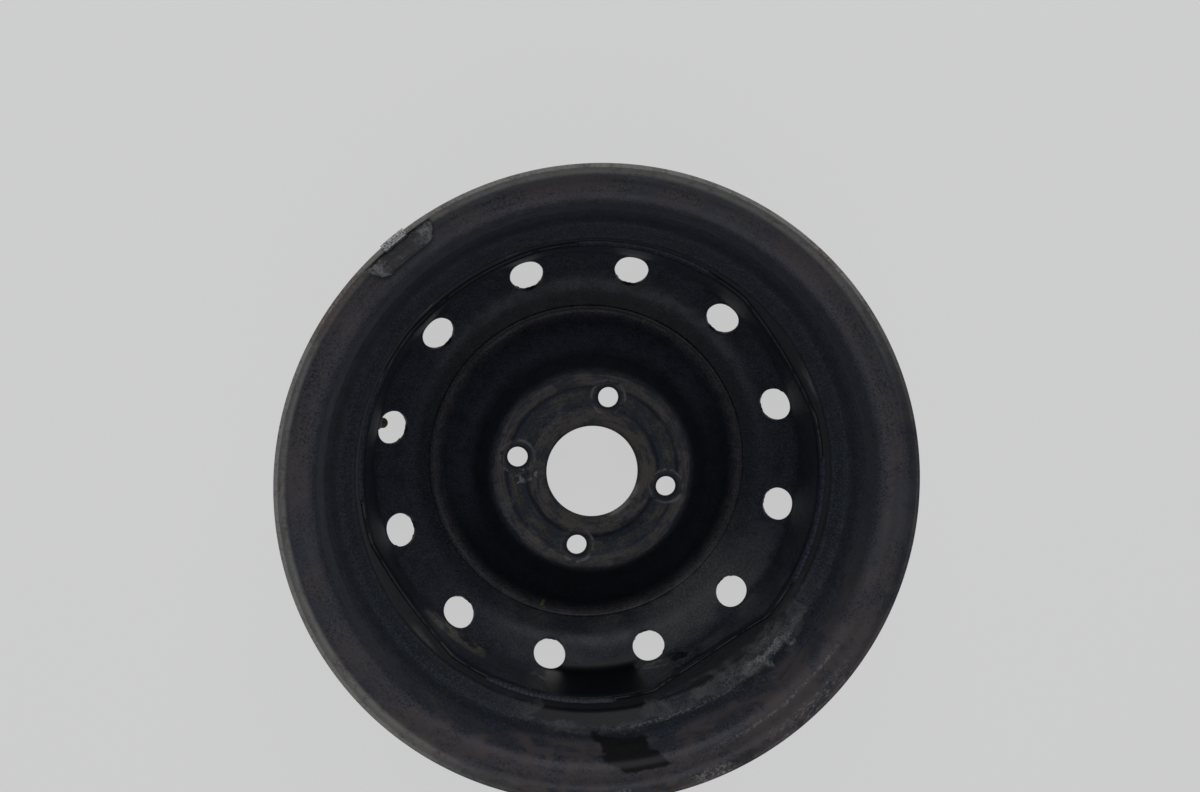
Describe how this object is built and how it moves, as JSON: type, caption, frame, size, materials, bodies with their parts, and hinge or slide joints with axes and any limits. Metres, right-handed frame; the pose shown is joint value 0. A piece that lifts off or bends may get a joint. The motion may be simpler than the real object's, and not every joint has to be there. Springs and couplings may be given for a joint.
{
  "type": "pressed steel car wheel",
  "caption": "Pressed steel car wheel: drop-centre rim, welded vented disc with conical bolt seats, snap-in tyre valve and a clip-on balance weight.",
  "frame": {"origin": "centre of the face that meets the hub, on the wheel's axis", "axes": "+Z along the wheel's axis towards the vehicle side; a bolt hole lies on +X and the valve on -X"},
  "size_m": [0.391, 0.3908, 0.1667],
  "materials": {
    "rim_paint": "worn satin black paint",
    "disc_paint": "worn satin black paint",
    "weld_paint": "painted weld",
    "lead": "dull, oxidised",
    "clip_steel": "bright, speckled",
    "valve_rubber": "matte",
    "stem_brass": "tarnished",
    "core_brass": "plain",
    "seal_plastic": "smooth"
  },
  "bodies": {
    "wheel": {"rim": "rim_paint", "disc": "disc_paint", "disc_weld_1": "weld_paint", "disc_weld_2": "weld_paint", "disc_weld_3": "weld_paint", "disc_weld_4": "weld_paint", "weight_body": "lead", "weight_clip": "clip_steel", "valve_rubber": "valve_rubber", "valve_stem": "stem_brass", "core_housing": "core_brass", "core_seal": "seal_plastic", "core_spring": "clip_steel"},
    "valve_pin": {"core_pin": "core_brass", "core_cup_seal": "valve_rubber"}
  },
  "joints": [
    {"name": "valve_press", "type": "slide", "parent": "wheel", "child": "valve_pin", "axis": [-0.3746, 0, 0.9272], "range_m": [0, 0.0012], "stiffness_N_per_m": 300, "springref_m": -0.002, "deforming": ["core_spring"]}
  ]
}
